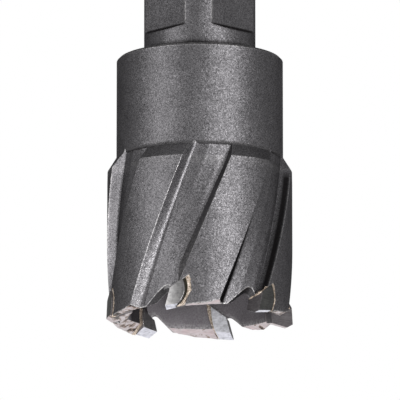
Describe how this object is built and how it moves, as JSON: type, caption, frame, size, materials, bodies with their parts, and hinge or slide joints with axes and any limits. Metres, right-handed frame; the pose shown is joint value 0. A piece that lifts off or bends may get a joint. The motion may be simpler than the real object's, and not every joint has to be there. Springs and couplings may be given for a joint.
{
  "type": "annular cutter",
  "caption": "Hollow carbide-tipped annular cutter with helical flutes, a plain collar and a round shank with two clamping flats.",
  "frame": {"origin": "on the spindle axis, in the plane of the lowest points of the carbide tips, where the cutter stands", "axes": "+Z along the spindle axis from the teeth to the shank; -Y is the side that the picture shows, +X is to its right"},
  "size_m": [0.0316, 0.0316, 0.078],
  "materials": {
    "steel": "fine-blasted black-oxide tool steel, ground bright at the tooth ends",
    "carbide": "ground tungsten carbide",
    "braze": "dull copper-silver braze"
  },
  "bodies": {
    "root": {"cutter_body": "steel", "carbide_tip_1": "carbide", "carbide_tip_2": "carbide", "carbide_tip_3": "carbide", "carbide_tip_4": "carbide", "carbide_tip_5": "carbide", "carbide_tip_6": "carbide", "braze_seam_1": "braze", "braze_seam_2": "braze", "braze_seam_3": "braze", "braze_seam_4": "braze", "braze_seam_5": "braze", "braze_seam_6": "braze"}
  },
  "joints": []
}
